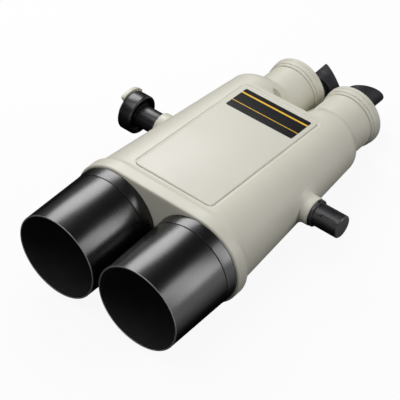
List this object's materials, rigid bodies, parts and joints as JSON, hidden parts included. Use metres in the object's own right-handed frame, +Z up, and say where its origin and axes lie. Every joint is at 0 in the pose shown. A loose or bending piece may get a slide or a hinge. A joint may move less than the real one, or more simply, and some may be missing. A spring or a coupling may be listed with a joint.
{
  "type": "binoculars",
  "caption": "Large trunnion-mounted observation binoculars with a cream cast body, black lens hoods, geared eyepiece turrets, winged eyecups and a side clamp knob.",
  "frame": {"origin": "centre of the flat base under the trunnion axis", "axes": "+Z up, +Y from the objectives to the eyepieces, +X to the user's left along the trunnion axis"},
  "size_m": [0.4386, 0.69, 0.165],
  "materials": {
    "cream_enamel": "cream baked enamel, satin",
    "black_alloy": "black anodised, satin",
    "hood_black": "black lacquer, satin gloss outside and flat black inside",
    "black_steel": "black oxide, polished",
    "steel": "plain steel",
    "spring_steel": "dark spring steel",
    "gear_brass": "machined brass",
    "black_plate": "black plate with plain yellow lines",
    "knob_plastic": "moulded black, satin",
    "seal_rubber": "flat gasket",
    "eyecup_rubber": "soft matt rubber",
    "optical_glass": "polished, coated"
  },
  "bodies": {
    "housing": {"main_housing": "cream_enamel", "top_cover": "cream_enamel", "cover_seal": "seal_rubber", "cover_screws": "steel", "nameplate": "black_plate", "prism_plate": "black_alloy", "prism_plate_screws": "steel", "trunnion_left": "black_steel", "trunnion_right": "black_steel", "clamp_stud": "steel", "stud_nut": "steel", "objective_cell_left": "black_alloy", "flint_lens_left": "optical_glass", "crown_lens_left": "optical_glass", "lens_retainer_left": "black_alloy", "baffle_tube_left": "black_alloy", "entry_prism_left": "optical_glass", "turning_prism_left": "optical_glass", "exit_prism_left": "optical_glass", "prism_strap_left": "spring_steel", "objective_cell_right": "black_alloy", "flint_lens_right": "optical_glass", "crown_lens_right": "optical_glass", "lens_retainer_right": "black_alloy", "baffle_tube_right": "black_alloy", "entry_prism_right": "optical_glass", "turning_prism_right": "optical_glass", "exit_prism_right": "optical_glass", "prism_strap_right": "spring_steel"},
    "clamp": {"clamp_knob": "knob_plastic", "knob_cap": "cream_enamel"},
    "turret_left": {"turret_base_left": "cream_enamel", "turret_cap_left": "cream_enamel", "turret_nut_left": "gear_brass", "ipd_gear_left": "gear_brass", "rhomboid_prism_left": "optical_glass", "eyepiece_mount_left": "black_alloy"},
    "focus_left": {"focus_ring_left": "black_alloy"},
    "barrel_left": {"eyepiece_barrel_left": "black_alloy", "field_lens_left": "optical_glass", "eye_lens_left": "optical_glass", "eye_lens_ring_left": "black_alloy"},
    "cup_left": {"eyecup_left": "eyecup_rubber"},
    "hood_left": {"lens_hood_left": "hood_black"},
    "turret_right": {"turret_base_right": "cream_enamel", "turret_cap_right": "cream_enamel", "turret_nut_right": "gear_brass", "ipd_gear_right": "gear_brass", "rhomboid_prism_right": "optical_glass", "eyepiece_mount_right": "black_alloy"},
    "focus_right": {"focus_ring_right": "black_alloy"},
    "barrel_right": {"eyepiece_barrel_right": "black_alloy", "field_lens_right": "optical_glass", "eye_lens_right": "optical_glass", "eye_lens_ring_right": "black_alloy"},
    "cup_right": {"eyecup_right": "eyecup_rubber"},
    "hood_right": {"lens_hood_right": "hood_black"}
  },
  "joints": [
    {"name": "eye_spacing_left", "type": "hinge", "parent": "housing", "child": "turret_left", "pos_m": [0.0578, 0.23365, 0.0711], "axis": [0, 1, 0], "range_deg": [-16, 16]},
    {"name": "eye_spacing_right", "type": "hinge", "parent": "housing", "child": "turret_right", "pos_m": [-0.0578, 0.23365, 0.0711], "axis": [0, 1, 0], "range_deg": [-16, 16]},
    {"name": "focus_turn_left", "type": "hinge", "parent": "turret_left", "child": "focus_left", "pos_m": [0.03353, 0.25845, 0.05926], "axis": [0, 1, 0], "range_deg": [-150, 150]},
    {"name": "focus_travel_left", "type": "slide", "parent": "turret_left", "child": "barrel_left", "axis": [0, 1, 0], "range_m": [-0.003, 0.003]},
    {"name": "cup_turn_left", "type": "hinge", "parent": "barrel_left", "child": "cup_left", "pos_m": [0.03353, 0.28145, 0.05926], "axis": [0, 1, 0], "range_deg": [-20, 20]},
    {"name": "focus_turn_right", "type": "hinge", "parent": "turret_right", "child": "focus_right", "pos_m": [-0.03353, 0.25845, 0.05926], "axis": [0, 1, 0], "range_deg": [-150, 150]},
    {"name": "focus_travel_right", "type": "slide", "parent": "turret_right", "child": "barrel_right", "axis": [0, 1, 0], "range_m": [-0.003, 0.003]},
    {"name": "cup_turn_right", "type": "hinge", "parent": "barrel_right", "child": "cup_right", "pos_m": [-0.03353, 0.28145, 0.05926], "axis": [0, 1, 0], "range_deg": [-20, 20]},
    {"name": "hood_draw_left", "type": "slide", "parent": "housing", "child": "hood_left", "axis": [0, -1, 0], "range_m": [0, 0.022]},
    {"name": "hood_draw_right", "type": "slide", "parent": "housing", "child": "hood_right", "axis": [0, -1, 0], "range_m": [0, 0.022]},
    {"name": "clamp_turn", "type": "hinge", "parent": "housing", "child": "clamp", "pos_m": [-0.19706, 0, 0.086], "axis": [1, 0, 0], "range_deg": [-300, 0]}
  ],
  "couplings": [
    {"joint": "eye_spacing_right", "follows": "eye_spacing_left", "ratio": -1},
    {"joint": "focus_travel_left", "follows": "focus_turn_left", "m_per_rad": 0.001146},
    {"joint": "focus_travel_right", "follows": "focus_turn_right", "m_per_rad": 0.001146}
  ]
}
